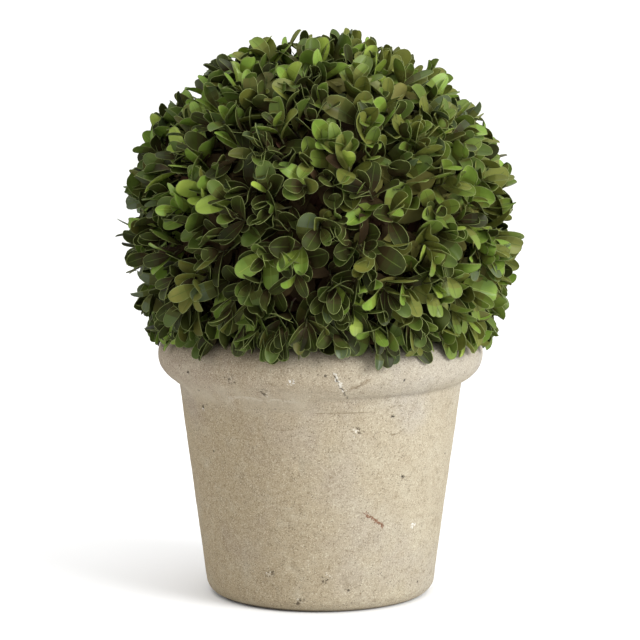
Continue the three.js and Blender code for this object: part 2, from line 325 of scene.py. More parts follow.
class Finish(Nodes):
    """A material worked out by nodes on the object's own coordinates."""

    def __init__(self, name, **constants):
        self.material = bpy.data.materials.new(name)
        self.material.use_nodes = True
        super().__init__(self.material.node_tree)
        self.shader = self.tree.nodes["Principled BSDF"]
        for socket, value in constants.items():
            self.shader.inputs[socket.replace("_", " ")].default_value = value
        self.place = self.add("ShaderNodeTexCoord", {}, "Object")

    def along(self, axis):
        """The place's X, Y or Z."""
        return self.add("ShaderNodeSeparateXYZ", {0: self.place}, axis)

    def stretched(self, x, y, z):
        """The place with its axes scaled. A scale over 1 makes what varies along it finer."""
        values = {"Vector": self.place, "Scale": (x, y, z)}
        return self.add("ShaderNodeMapping", values, vector_type="POINT")

    def noise(self, size, detail=2.0, roughness=0.5, place=None, output=0):
        """Cloudy noise from 0 to 1 whose features are about that size, in metres."""
        values = {"Scale": 1 / size, "Detail": detail, "Roughness": roughness}
        return self.add("ShaderNodeTexNoise", {"Vector": place or self.place, **values}, output)

    def cells(self, size):
        """Distance to the nearest of points scattered one to a cell of that size, over the size."""
        values = {"Vector": self.place, "Scale": 1 / size, "Randomness": 1.0}
        return self.add("ShaderNodeTexVoronoi", values, "Distance")

    def vector(self, operation, *values, output=0):
        return self.add("ShaderNodeVectorMath", dict(enumerate(values)), output, operation=operation)

    def shaken(self, distance, size):
        """The place moved at random by up to that distance, by cloudy noise of that size, which
        seldom leaves the middle half of its range."""
        centred = self.vector("SUBTRACT", self.noise(size, output="Color"), (0.5, 0.5, 0.5))
        return self.vector("ADD", self.place, self.vector("MULTIPLY", centred, (4 * distance,) * 3))

    def from_points(self, place, points):
        """Distance to the nearest of several points."""
        distances = [self.vector("DISTANCE", place, tuple(point), output="Value") for point in points]
        return reduce(Amount.smaller, distances)

    def from_line(self, place, start, stop):
        """Distance to a straight line: to start + h (stop - start), where h is how far along the
        line the place lies, held between 0 and 1."""
        run = stop - start
        offset = self.vector("SUBTRACT", place, tuple(start))
        share = self.vector("DOT_PRODUCT", offset, tuple(run / (run @ run)), output="Value")
        share = self.add("ShaderNodeClamp", {"Value": share})
        shares = self.add("ShaderNodeCombineXYZ", {0: share, 1: share, 2: share})
        nearest = self.vector("MULTIPLY", tuple(run), shares)
        return self.vector("DISTANCE", offset, nearest, output="Value")

    def blend(self, first, second, share):
        """A mix of two colours."""
        values = {"Factor": share}
        for socket, colour in ((MIX_FIRST, first), (MIX_SECOND, second)):
            values[socket] = colour if isinstance(colour, Amount) else (*colour, 1.0)
        return self.add("ShaderNodeMix", values, MIX_RESULT, data_type="RGBA")

    def layered(self, colour, *layers):
        """A colour with others laid over it in turn, each by its own share."""
        for tint, share in layers:
            colour = self.blend(colour, tint, share)
        return colour

    def set(self, socket, value):
        self.tree.links.new(value.socket, self.shader.inputs[socket])

    def relief(self, height, distance, strength):
        values = {"Height": height, "Distance": distance, "Strength": strength}
        self.set("Normal", self.add("ShaderNodeBump", values))


def outer_radius(height):
    """Radius of the line of the wall, under the roll."""
    return WALL_FOOT_RADIUS + WALL_LEAN * height


def inner_radius(height):
    return outer_radius(height) - WALL_THICKNESS * SLANT


def on_wall(*marks):
    """Places on the pot's outside, each from its angle about the axis in degrees and its height in
    millimetres: on the roll's circle where that stands proud, else on the wall."""
    places = []
    for degrees, height in marks:
        height = height * MM
        radius = outer_radius(height)
        rise = height - ROLL_CENTRE[1]
        if abs(rise) < ROLL_RADIUS:
            radius = max(radius, ROLL_CENTRE[0] + math.sqrt(ROLL_RADIUS**2 - rise**2))
        angle = math.radians(degrees)
        places.append(np.array([radius * math.cos(angle), radius * math.sin(angle), height]))
    return places


# Marks on the pot. The front is at 270 degrees.
CRACK = on_wall((274.6, 151.6), (276.1, 144.4), (278.0, 141.0), (279.9, 135.7))
BROWN_TRAIL = on_wall((280.2, 141.6), (287.2, 148.1))
RUST_SCRATCH = on_wall((289.8, 63.1), (299.2, 53.9))
SCUFFS = on_wall(
    (237.5, 145.3), (250.0, 138.6), (285.0, 114.0), (272.5, 22.5), (245.4, 24.3),
    (260.0, 7.8), (120.0, 128.0), (64.0, 40.0), (168.0, 70.0),
)
PALE_CHIPS = on_wall((259.9, 146.2), (213.8, 122.0), (317.1, 51.9), (96.0, 140.0))
DARK_DOTS = on_wall(
    (299.6, 145.7), (300.2, 122.2), (217.7, 146.9), (214.6, 124.0),
    (307.7, 83.7), (82.0, 101.0), (150.0, 141.0),
)
RING_MARK = on_wall((301.6, 119.8))
SEAM_HEIGHT = 126 * MM


def cast_clay():
    """Coarse pale cast clay: a sandy ground with grey-pink clouds, most of them towards one side
    and the rim, fine dark and pale grain, specks, pits, and the marks of its casting and use. The
    ground runs lighter towards the side the key light falls on, partly painted light, and a band
    of painted shade darkens the bottom of the foot."""
    clay = Finish("cast_clay", Roughness=0.93, Specular_IOR_Level=0.2)
    across, height = clay.along("X"), clay.along("Z")
    clouds = clay.noise(55 * MM, 3.0, 0.55)
    patches = clay.noise(17 * MM, 4.0, 0.6)
    mottle = clay.noise(4.5 * MM, 3.0, 0.6)
    grit = clay.noise(2.0 * MM, 3.0, 0.65)
    grain = clay.noise(0.75 * MM, 2.0, 0.7)
    streaks = clay.noise(9 * MM, 4.0, 0.65, clay.stretched(1, 1, 6))

    # Ground, clouds and grain
    # Partly the clay's own tone, partly painted light: the ground and the rosy clouds run lighter and
    # greyer towards the right, where the key light falls.
    towards_lit_side = across.above(-60 * MM, 70 * MM)
    sandy = clay.blend((0.295, 0.237, 0.150), (0.34, 0.296, 0.214), towards_lit_side)
    rosy = clay.blend((0.272, 0.222, 0.166), (0.33, 0.298, 0.245), towards_lit_side)
    pinkness = clouds.above(0.4, 0.68) * 0.6 + height.above(100 * MM, 140 * MM) * 0.45
    specks = clay.cells(1.7 * MM).above(0.22, 0.12) * clay.noise(7 * MM, 2.0).above(0.48, 0.6)
    pits = clay.cells(12 * MM).above(0.08, 0.045) * clay.noise(26 * MM, 1.0).above(0.5, 0.58)
    colour = clay.layered(
        sandy,
        (rosy, pinkness.above(0.05, 1.05)),
        ((0.39, 0.355, 0.27), patches.above(0.48, 0.76) * 0.4),
        ((0.23, 0.18, 0.115), patches.above(0.47, 0.25) * 0.35),
        ((0.2, 0.16, 0.105), streaks.above(0.55, 0.78) * 0.25),
        ((0.17, 0.13, 0.08), mottle.above(0.52, 0.76) * 0.4),
        ((0.41, 0.365, 0.27), mottle.above(0.46, 0.28) * 0.3),
        ((0.15, 0.108, 0.06), grit.above(0.54, 0.72) * 0.55),
        ((0.13, 0.092, 0.052), grain.above(0.54, 0.7) * 0.7),
        ((0.54, 0.49, 0.38), grain.above(0.46, 0.3) * 0.65),
        ((0.07, 0.048, 0.03), specks * 0.75),
        ((0.05, 0.038, 0.026), pits * 0.75),
    )

    # Slip in the corner under the roll, the crack with its trail, and the rust-coloured scratch
    frontwards = clay.along("Y").above(10 * MM, -35 * MM)
    slip = height.above(121 * MM, 132 * MM) * height.above(145 * MM, 137 * MM) * frontwards
    slip = slip * across.above(15 * MM, -20 * MM) * clay.noise(9 * MM, 3.0).above(0.3, 0.6)
    shaken = clay.shaken(0.8 * MM, 1.5 * MM)
    ragged = clay.shaken(2.6 * MM, 2.4 * MM)
    broken = grit.above(0.4, 0.52)
    crack = reduce(Amount.smaller, [clay.from_line(shaken, *ends) for ends in zip(CRACK, CRACK[1:])])
    crack = crack.above(0.8 * MM, 0.3 * MM) * broken
    beside_crack = clay.from_line(ragged, CRACK[0], CRACK[2]).above(1.5 * MM, 0.7 * MM)
    trail = clay.from_line(shaken, *BROWN_TRAIL)
    rust = clay.from_line(shaken, *RUST_SCRATCH).above(1.4 * MM, 0.6 * MM) * grit.above(0.36, 0.46)
    colour = clay.layered(
        colour,
        ((0.37, 0.325, 0.245), slip * 0.5),
        ((0.62, 0.6, 0.54), beside_crack * 0.6),
        ((0.19, 0.14, 0.085), trail.above(1.6 * MM, 0.7 * MM) * 0.55),
        ((0.07, 0.05, 0.035), trail.above(0.6 * MM, 0.25 * MM) * broken * 0.7),
        ((0.05, 0.04, 0.03), crack * 0.8),
        ((0.155, 0.062, 0.03), rust * 0.85),
        ((0.05, 0.028, 0.018), rust * grain.above(0.5, 0.62) * 0.6),
    )

    # Scuffs, chips, dots and two arcs of a ring
    scuffed = clay.from_points(ragged, SCUFFS).above(4.2 * MM, 1.2 * MM)
    scuffs = scuffed * grit.above(0.5, 0.56)
    chips = clay.from_points(ragged, PALE_CHIPS).above(2.0 * MM, 0.9 * MM)
    dots = clay.from_points(shaken, DARK_DOTS).above(1.4 * MM, 0.7 * MM)
    ring = clay.from_points(clay.place, RING_MARK)
    ring = ring.above(8.3 * MM, 8.8 * MM) * ring.above(9.8 * MM, 9.2 * MM)
    from_middle = (height - RING_MARK[0][2]) / (9 * MM)
    ring = ring * (from_middle * from_middle).above(0.2, 0.6)

    # The pale wavy edge of the slip, the seam, painted shade round the foot, heavier away from the key
    # light, and the cooler rim on the right
    slip_edge = (height + patches * (26 * MM) - 146.5 * MM) / (1.4 * MM)
    slip_edge = (slip_edge * slip_edge).above(1.0, 0.0) * across.above(-66 * MM, -50 * MM)
    slip_edge = slip_edge * across.above(-5 * MM, -25 * MM) * frontwards
    seam = (height - SEAM_HEIGHT) / (0.6 * MM)
    seam = (seam * seam).above(1.0, 0.2) * frontwards
    seam = seam * across.above(34 * MM, 26 * MM) * across.above(-9 * MM, 2 * MM)
    # Painted shade: a dark band round the bottom of the foot, heavier on the side away from the key
    # light.
    foot_shade = height.above(2.6 * MM, 0.8 * MM) * (0.85 - 0.6 * towards_lit_side)
    cooler = height.above(136 * MM, 146 * MM) * across.above(20 * MM, 80 * MM)
    colour = clay.layered(
        colour,
        ((0.06, 0.043, 0.029), scuffs * 0.85),
        ((0.6, 0.57, 0.5), scuffed * grit.above(0.42, 0.36) * 0.7),
        ((0.76, 0.75, 0.71), chips * 0.6),
        ((0.025, 0.018, 0.012), dots * 0.9),
        ((0.17, 0.135, 0.085), ring * grit.above(0.38, 0.52) * 0.6),
        ((0.44, 0.40, 0.32), slip_edge * mottle.above(0.35, 0.55) * 0.5),
        ((0.15, 0.115, 0.07), seam * streaks.above(0.4, 0.52) * 0.6),
        ((0.06, 0.043, 0.027), foot_shade),
        ((0.30, 0.30, 0.32), cooler * 0.14),
    )
    clay.set("Base Color", colour)
    hollows = pits * 2.0 + specks * 0.8 + crack * 1.6 + dots * 1.2 + scuffs * 0.8 - chips * 0.5
    skin = grain * 0.4 + grit * 0.4 + mottle * 0.5 + streaks * 0.3 + patches * 0.4
    clay.relief(skin - hollows, 0.5 * MM, 0.8)
    return clay.material


def leaf_finish(name, dark, light, roughness, sheen=0.2):
    """Leathery leaf: two near tones that drift from leaf to leaf, with a soft uneven sheen."""
    leaf = Finish(name, Specular_IOR_Level=sheen)
    drift = leaf.noise(16 * MM, 2.0)
    leaf.set("Base Color", leaf.blend(dark, light, drift.above(0.35, 0.65)))
    swing = 0.24
    leaf.set("Roughness", leaf.noise(7 * MM, 2.0) * swing + (roughness - swing / 2))
    return leaf.material


def bark_finish(name, dark, light, size):
    """Bark with fibres of that size across it, drawn out along the height."""
    bark = Finish(name, Roughness=0.85)
    fibres = bark.noise(size, 4.0, 0.6, bark.stretched(1, 1, 0.3))
    bark.set("Base Color", bark.blend(dark, light, fibres.above(0.35, 0.68)))
    bark.relief(fibres, 0.4 * MM, 0.7)
    return bark.material


def mix_finish():
    """Dark crumbs, paler towards the cracks between them."""
    mix = Finish("dark_potting_mix", Roughness=0.95)
    crumbs = mix.cells(3 * MM)
    colour = mix.blend((0.012, 0.008, 0.006), (0.09, 0.055, 0.03), crumbs.above(0.15, 0.75))
    mix.set("Base Color", colour)
    mix.relief(crumbs, 1.2 * MM, 0.8)
    return mix.material


# Pot, potting mix and stem


def neck_centre():
    """Centre of the fillet that touches the wall's line and the roll's circle, from the quadratic
    for a point at the fillet's radius from both."""
    offset = WALL_FOOT_RADIUS + NECK_ROUND * SLANT - ROLL_CENTRE[0]
    a = SLANT**2
    b = 2 * (offset * WALL_LEAN - ROLL_CENTRE[1])
    c = offset**2 + ROLL_CENTRE[1] ** 2 - (ROLL_RADIUS + NECK_ROUND) ** 2
    height = (-b - math.sqrt(b * b - 4 * a * c)) / (2 * a)
    return np.array([outer_radius(height) + NECK_ROUND * SLANT, height])


def pot_profile():
    """The pot's outline from the middle of its underside, up the wall, round the roll and down
    inside to the middle of its floor."""
    lean = math.atan(WALL_LEAN)
    foot = (outer_radius(FOOT_ROUND) - FOOT_ROUND * SLANT, FOOT_ROUND)
    neck = neck_centre()
    roll_start = math.atan2(neck[1] - ROLL_CENTRE[1], neck[0] - ROLL_CENTRE[0])
    lip_round = ROLL_CENTRE[0] - inner_radius(POT_HEIGHT)
    corner_height = FLOOR_THICKNESS + INNER_ROUND
    corner = (inner_radius(corner_height) - INNER_ROUND, corner_height)
    outside = np.concatenate(
        [
            arc(foot, FOOT_ROUND, -math.pi / 2, -lean, 12),
            arc(neck, NECK_ROUND, math.pi - lean, roll_start + math.pi, 6),
            arc(ROLL_CENTRE, ROLL_RADIUS, roll_start, math.pi / 2, 30),
            arc((ROLL_CENTRE[0], POT_HEIGHT - lip_round), lip_round, math.pi / 2, math.pi, 6),
        ]
    )
    inside = arc(corner, INNER_ROUND, 0, -math.pi / 2, 6)
    return np.concatenate(
        [
            line((0, 0), (foot[0], 0), 12 * MM)[:-1],
            evenly(outside, 1.2 * MM),
            line(outside[-1], inside[0], 9 * MM)[1:-1],
            inside,
            line(inside[-1], (0, FLOOR_THICKNESS), 14 * MM)[1:],
        ]
    )


def slipped_profile(profile):
    """The same outline with slip in the corner under the roll: points of the corner move square to
    a chord, from a place on the roll's underside to one on the wall, until they lie on it."""
    under = -math.radians(45)
    upper = ROLL_CENTRE + ROLL_RADIUS * np.array([math.cos(under), math.sin(under)])
    foot_height = neck_centre()[1] - SLIP_DEPTH
    lower = np.array([outer_radius(foot_height), foot_height])
    run = unit(upper - lower)
    outward = np.array([run[1], -run[0]])
    in_corner = (profile[:, 1] > lower[1]) & (profile[:, 1] < upper[1])
    outside = profile[:, 0] > outer_radius(profile[:, 1]) - 1 * MM
    depth = np.maximum((upper - profile) @ outward, 0) * (in_corner & outside)
    return profile + depth[:, None] * outward


def slip_share(angle):
    """How full of slip the corner is, round the pot: a little at the front, and full on the left
    of it, from 194 to 284 degrees with a slope at each end."""
    degrees = np.degrees(angle) % 360
    smeared = np.clip((degrees - 194) / 14, 0, 1) * np.clip((284 - degrees) / 24, 0, 1)
    return 0.05 + 0.23 * np.maximum(-np.sin(angle), 0) + 0.67 * smeared


def cast_relief(points):
    """The hand-cast surface: slow swells, a coarse skin, scattered small hollows, and a fine groove
    at the neck where no slip fills it, whose depth goes as exp(-h²), with h the height over the
    neck in 1.1 mm. It all fades out over the lowest 4 mm, so that the underside stays flat."""
    x, y, height = np.moveaxis(points, -1, 0)
    swell = 0.35 * MM * smooth_noise(points, 48 * MM, 1)
    skin = 0.13 * MM * smooth_noise(points, 7 * MM, 2) + 0.08 * MM * smooth_noise(points, 3 * MM, 3)
    hollow = -0.5 * MM * np.clip((smooth_noise(points, 4.5 * MM, 4) - 0.55) / 0.25, 0, 1)
    outside = np.hypot(x, y) > inner_radius(height) + 4 * MM
    from_neck = (height - neck_centre()[1]) / (1.1 * MM)
    open_corner = (1 - slip_share(np.arctan2(y, x))) * outside
    groove = -0.5 * MM * np.exp(-(from_neck**2)) * open_corner
    return (swell + skin + hollow + groove - RELIEF_INSET) * np.clip(height / (4 * MM), 0, 1)


def make_pot():
    profile = pot_profile()
    vertices, faces = lathe(profile, 400, cast_relief, slipped_profile(profile), slip_share)
    pot = mesh_piece("cast_pot", vertices, faces, cast_clay())
    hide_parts("pot")


def make_mix():
    """The mix as a plug in the pot: its side follows the inner wall, and its top is crumbly."""
    low, top = mix_low.z, mix_high.z
    corner = (inner_radius(low + INNER_ROUND) - INNER_ROUND - CLEARANCE, low + INNER_ROUND)
    edge = (inner_radius(top) - 2 * CLEARANCE, top)
    side = np.concatenate([arc(corner, INNER_ROUND, -math.pi / 2, 0, 5), [edge]])
    profile = np.concatenate(
        [
            line((0, low), side[0], 16 * MM)[:-1],
            evenly(side, 12 * MM),
            line(edge, (0, top), 2 * MM)[1:],
        ]
    )

    def crumbs(points):
        on_top = points[..., 2] > top - TINY
        outside_stem = np.hypot(points[..., 0], points[..., 1]) >= STEM_FOOT_RADIUS * 1.3
        coarse = 0.8 * MM * smooth_noise(points, 5 * MM, 5)
        fine = 0.5 * MM * smooth_noise(points, 2.5 * MM, 6)
        return np.where(on_top & outside_stem, coarse + fine - 1.0 * MM, 0.0)

    vertices, faces = lathe(profile, 160, crumbs)
    mix = mesh_piece("crumbly_mix", vertices, faces, mix_finish())
    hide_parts("potting_mix")


def make_stem():
    """The stem's outline turned about its axis, with ridges of bark that run up it."""
    foot, tip = stem_low.z, stem_high.z
    outline = np.array(
        [
            [STEM_FOOT_RADIUS, foot],
            [(STEM_FOOT_RADIUS + STEM_NECK_RADIUS) / 2, foot + STEM_FLARE / 3],
            [STEM_NECK_RADIUS, foot + STEM_FLARE],
            [STEM_TIP_RADIUS, tip],
        ]
    )
    profile = np.concatenate([[[0, foot]], evenly(outline, 1.5 * MM), [[0, tip]]])

    def ridges(points):
        on_side = (points[..., 2] > foot + TINY) & (points[..., 2] < tip - TINY)
        ridge = 0.6 * MM * smooth_noise(points * np.array([1, 1, 0.25]), 3 * MM, 7)
        return np.where(on_side, ridge - 0.5 * MM, 0.0)

    vertices, faces = lathe(profile, 48, ridges)
    bark = bark_finish("box_bark", (0.05, 0.035, 0.02), (0.2, 0.15, 0.09), 3 * MM)
    stem = mesh_piece("bark_stem", vertices, faces, bark)
    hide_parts("stem")


# Foliage

# Where a blade has points, along the leaf and across it, and fewer of them for the inner leaves
LEAF_ROWS = np.array([0.0, 0.1, 0.24, 0.42, 0.62, 0.78, 0.9, 0.97])
LEAF_COLUMNS = np.array([-1.0, -0.5, 0.0, 0.5, 1.0])
COARSE_ROWS = np.array([0.0, 0.3, 0.6, 0.85, 0.97])
COARSE_COLUMNS = np.array([-1.0, 0.0, 1.0])
FOOT_ENDS, THROAT_ENDS = 3, 4  # the rows of a blade where its foot and its throat end
ROUNDNESS = 2.2
MARGIN = 0.23 * MM  # width and thickness
RIB_WIDTH = 0.2 * MM
RIB_RISE = 0.1 * MM
SUNNY = np.array([0.86, 0.1, 0.5])  # towards the key light: leaves on that side get lighter tones and lit copies of their colour, painted light
FRONT = np.array([0.0, -1.0, 0.0])  # the photographed side
FRONT_PAINTED_SHADE = 0.75  # how much more of the ball's front is deep green, painted shade
TRUE_TO_SPRIG = 0.55  # the share of the leaves that take their sprig's tone


def directions(turn, slope):
    """Unit vectors from the angle a about the axis and the upward part s: (f cos a, f sin a, s),
    where f is the root of 1 - s²."""
    slope = np.broadcast_to(slope, turn.shape)
    flat = np.sqrt(1 - slope * slope)
    return np.stack([flat * np.cos(turn), flat * np.sin(turn), slope], axis=-1)


def spiral(count, lowest):
    """An even spiral of directions from the top to the lowest slope, which turns by the golden
    angle at each step down."""
    step = np.arange(count)
    return directions(step * GOLDEN_ANGLE, 1 - (step + 0.5) / count * (1 - lowest))


def branch_directions():
    """Where the branches point, as the solid ball's sprigs do: an even spiral over the ball, and a
    ring above the rim."""
    place = np.arange(SKIRT_BRANCHES) + rng.uniform(-0.2, 0.2, SKIRT_BRANCHES)
    skirt = directions(place * 2 * math.pi / SKIRT_BRANCHES, SKIRT_SLOPE)
    return np.concatenate([spiral(COVER_BRANCHES, COVER_SLOPE), skirt])


def side_vectors(axes):
    """Two unit vectors square to each axis and to each other."""
    first = unit(np.cross(helpers(axes, 0.9), axes))
    return first, np.cross(axes, first)


def square_to(axis, vectors):
    """The given vectors v turned square to an axis a of length 1: v - (v · a) a, at length 1."""
    return unit(vectors - np.sum(vectors * axis, axis=-1, keepdims=True) * axis)


def sprig_table(branches):
    """Each branch carries sprigs that fan out from it like seeds on a sunflower: the n-th leans
    away by an angle that grows with the root of n. The sprigs of the ring droop a little more at
    the front and the back. Each has a lean that its branch's sprigs share and one of its own, and
    those under the ball's middle hang."""
    count = len(branches) * SPRIGS_ON_BRANCH
    owner, place = np.indices((len(branches), SPRIGS_ON_BRANCH)).reshape(2, -1)
    share = np.sqrt((place + 0.5) / SPRIGS_ON_BRANCH)
    turn = place * GOLDEN_ANGLE + rng.uniform(0, 2 * math.pi, len(branches))[owner]
    first, second = side_vectors(branches)
    outward = swung(first[owner], second[owner], turn)
    spread = (SPRIG_SPREAD * share + rng.normal(0, 0.02, count))[:, None]
    direction = unit(branches[owner] + spread * outward)
    droop = SKIRT_DROOP * np.abs(direction[:, 1]) * (owner >= COVER_BRANCHES)
    direction[:, 2] = np.maximum(direction[:, 2] - droop, SPRIG_SLOPE)
    direction = unit(direction)
    common = rng.normal(0, SPRIG_LEAN, (len(branches), 3))[owner]
    own = rng.normal(0, SPRIG_LEAN, (count, 3))
    hang = np.clip(0.2 - 1.3 * direction[:, 2:3], 0, 0.95)
    axis = unit(direction + 0.8 * spread * outward + common + own + hang * DOWN)
    return {"owner": owner, "share": share, "direction": direction, "axis": axis}


def leaf_table(sprigs):
    """Leaves in crossed pairs up each sprig: the lowest pair opens widest, the last stands nearly
    upright and is smaller. A leaf's upper face looks towards the sprig's axis, and turns partly
    outwards and up to the light."""
    count = len(sprigs["axis"])
    sprig, pair, partner = np.indices((count, PAIRS_ON_SPRIG, 2)).reshape(3, -1)
    total = len(sprig)
    height = pair / (PAIRS_ON_SPRIG - 1)
    turn = rng.uniform(0, 2 * math.pi, count)[sprig] + (pair / 2 + partner) * math.pi
    turn = turn + rng.normal(0, 0.25, total)
    open_angle = 1.2 - 0.85 * height + rng.normal(0, 0.2, total)
    axis = sprigs["axis"][sprig]
    first, second = side_vectors(sprigs["axis"])
    outward = swung(first[sprig], second[sprig], turn)
    radial = sprigs["direction"][sprig]
    low = np.clip(-0.1 - radial[:, 2:3], 0, 0.5)
    along = unit(swung(axis, outward, open_angle) + (0.08 + 1.7 * low) * DOWN)
    to_light = (rng.uniform(0.0, 0.7, (total, 1)) + 1.2 * low) * (radial - 0.5 * DOWN)
    upper = square_to(along, square_to(along, axis) + to_light)
    upper = unit(swung(upper, np.cross(upper, along), rng.normal(0, 0.25, total)))
    length = LEAF_LENGTH * np.clip(rng.normal(1.0, 0.13, total), 0.6, 1.3) * (1.04 - 0.3 * height**2)
    return {
        "sprig": sprig,
        "height": height,
        "start": axis * ((0.1 + 0.9 * height) * SPRIG_LENGTH)[:, None],
        "along": along,
        "upper": upper,
        "length": length,
        "breadth": length * LEAF_BREADTH * np.clip(rng.normal(1, 0.1, total), 0.75, 1.3),
        "fold": rng.normal(0.28, 0.16, total),
        "cup": rng.normal(0.04, 0.2, total),
        "curl": rng.normal(0.1, 0.4, total),
        "twist": rng.normal(0, 0.2, total),
        "widest": rng.uniform(0.5, 0.7, total),
    }


def half_breadth(t, widest):
    """A box leaf's outline, an oval or a spoon: a narrow foot that swells to the widest place, and
    from there a blunt round end, (1 - s^2.2)^(1/2.2)."""
    swelling = 0.08 + 0.92 * np.sin(math.pi / 2 * np.clip(t / widest, 0, 1) ** 0.85) ** 1.1
    end = np.clip((t - widest) / (1 - widest), 0, 1)
    return np.where(t < widest, swelling, (1 - end**ROUNDNESS) ** (1 / ROUNDNESS))


def leaf_points(leaves, rows, columns):
    """The blades as grids, row by row: the midrib bends along an arc, so its slope at t is curl t,
    and across it a point at u stands fold |u| + cup u² of the half breadth above the midrib. The
    rows near the end bulge to close the round tip."""
    t = rows[None, :, None]
    u = columns[None, None, :]

    def each(name):
        return leaves[name][:, None, None]

    slope = each("curl") * t
    safe = np.where(np.abs(each("curl")) < 1e-4, 1e-4, each("curl"))
    reach = each("length") * np.sin(safe * t) / safe
    drop = -each("length") * (1 - np.cos(safe * t)) / safe
    half = each("breadth") / 2 * half_breadth(t, each("widest"))
    bulge = each("length") * (1 - LEAF_ROWS[-1]) * (t / LEAF_ROWS[-1]) ** 6 * (1 - u * u)
    rise = half * (each("fold") * np.abs(u) + each("cup") * u * u)
    turned = each("twist") * t
    aside = half * u * np.cos(turned) - rise * np.sin(turned)
    lift = half * u * np.sin(turned) + rise * np.cos(turned)
    x = reach + bulge * np.cos(slope) + lift * np.sin(slope)
    z = drop - bulge * np.sin(slope) + lift * np.cos(slope)
    across = np.cross(leaves["upper"], leaves["along"])
    axes = np.stack([leaves["along"], across, leaves["upper"]], axis=1)
    return leaves["start"][:, None, None] + np.stack([x, aside, z], axis=-1) @ axes[:, None]


def kept(leaves, mask):
    """The rows of a table of leaves where the mask is true."""
    return {name: values[mask] for name, values in leaves.items()}


def clear_of_pot(points):
    """True for each blade that keeps the clearance to the rim, the wall and the mix."""
    radius = np.hypot(points[..., 0], points[..., 1])
    from_roll = np.hypot(radius - ROLL_CENTRE[0], points[..., 2] - ROLL_CENTRE[1])
    past_wall = radius > inner_radius(points[..., 2]) - CLEARANCE
    in_wall = past_wall & (radius < ROLL_CENTRE[0]) & (points[..., 2] < POT_HEIGHT + CLEARANCE)
    in_mix = ~past_wall & (points[..., 2] < mix_high.z + CLEARANCE)
    return ~((from_roll < ROLL_RADIUS + CLEARANCE) | in_wall | in_mix).any(axis=(1, 2))


def furthest(points):
    """How far each blade's furthest point lies from the ball's middle."""
    return np.linalg.norm(points - BALL_CENTRE, axis=-1).max(axis=(1, 2))


def settle(sprigs, leaves):
    """Moves each sprig along its own direction until its furthest leaf meets the clipped surface:
    the ball's radius, less a sag that grows towards the edge of its branch. Some sprigs stray past
    it. The ring has no sag and stands out a little, least on the left. Leaves that would enter the
    pot, hang too low or pass the reach are then left out, and a random share of the rest."""
    points = leaf_points(leaves, LEAF_ROWS, LEAF_COLUMNS)
    count = len(sprigs["axis"])
    stray = np.where(rng.random(count) < 0.3, rng.uniform(0, STRAY_REACH, count), 0)
    sag = 3.0 * MM * sprigs["share"] ** 2 + rng.uniform(0, 3.2 * MM, count)
    low = np.clip(-0.2 - sprigs["direction"][:, 2], 0, 0.3) / 0.3
    skirt = SKIRT_STANDS_OUT * low * np.minimum(1 + 1.3 * sprigs["direction"][:, 0], 1)
    target = BALL_RADIUS + 1.5 * MM - sag * (1 - low) + stray + skirt
    sprig = leaves["sprig"]
    along = np.sum(points * sprigs["direction"][sprig][:, None, None], axis=-1)
    aside = np.sum(points * points, axis=-1) - along**2
    shift = np.sqrt(target[sprig][:, None, None] ** 2 - aside) - along
    least = np.full(count, 1.0)
    np.minimum.at(least, sprig, shift.min(axis=(1, 2)))
    sprigs["root"] = BALL_CENTRE + sprigs["direction"] * least[:, None]
    leaves["start"] = leaves["start"] + sprigs["root"][sprig]
    points = leaf_points(leaves, LEAF_ROWS, LEAF_COLUMNS)
    lowest = rng.uniform(LOWEST_LEAF, LOWEST_LEAF + 4 * MM, len(points))
    good = clear_of_pot(points) & (points[..., 2].min(axis=(1, 2)) > lowest)
    good &= furthest(points) < BALL_RADIUS + STRAY_REACH + 2 * MM
    good &= rng.random(len(good)) > LEFT_OUT
    return kept(leaves, good)


def sheets(name, grids, finish, order=-1):
    """A piece of many sheets, each a grid of points. The order of the corners turns the faces."""
    faces = grid_quads(grids.shape[1], grids.shape[2], len(grids))[:, ::order]
    return mesh_piece(name, grids.reshape(-1, 3), [faces], finish)


def blades(name, leaves, finish, rows=LEAF_ROWS, columns=LEAF_COLUMNS):
    """The leaves' blades, or the part of them that the rows reach over."""
    return sheets(name, leaf_points(leaves, rows, columns), finish)


def margins(name, leaves, finish):
    """The pale margins: along each blade's edge a strip of three lines, one just outside the edge
    and one on each side of the blade, a width in from it and half a thickness off it."""
    points = leaf_points(leaves, LEAF_ROWS, LEAF_COLUMNS)
    edge = np.concatenate([points[:, 1:, 0], points[:, -1, 1:-1], points[:, :0:-1, -1]], axis=1)
    next_in = np.concatenate([points[:, 1:, 1], points[:, -2, 1:-1], points[:, :0:-1, -2]], axis=1)
    inward = unit(next_in - edge)
    following = unit(np.gradient(edge, axis=1))
    off = MARGIN / 2 * unit(np.cross(inward, following))
    inner = edge + MARGIN * inward
    section = np.stack([inner + off, edge - MARGIN / 5 * inward, inner - off], axis=2)
    return sheets(name, section, finish, order=1)


def midribs(name, leaves, finish):
    """A narrow raised line down the middle of each blade, from its foot to near its tip."""
    columns = np.array([-1.0, 1.0]) * RIB_WIDTH / np.mean(leaves["breadth"]) * 2
    points = leaf_points(leaves, LEAF_ROWS[:-1], columns)
    return sheets(name, points + RIB_RISE * leaves["upper"][:, None, None], finish)


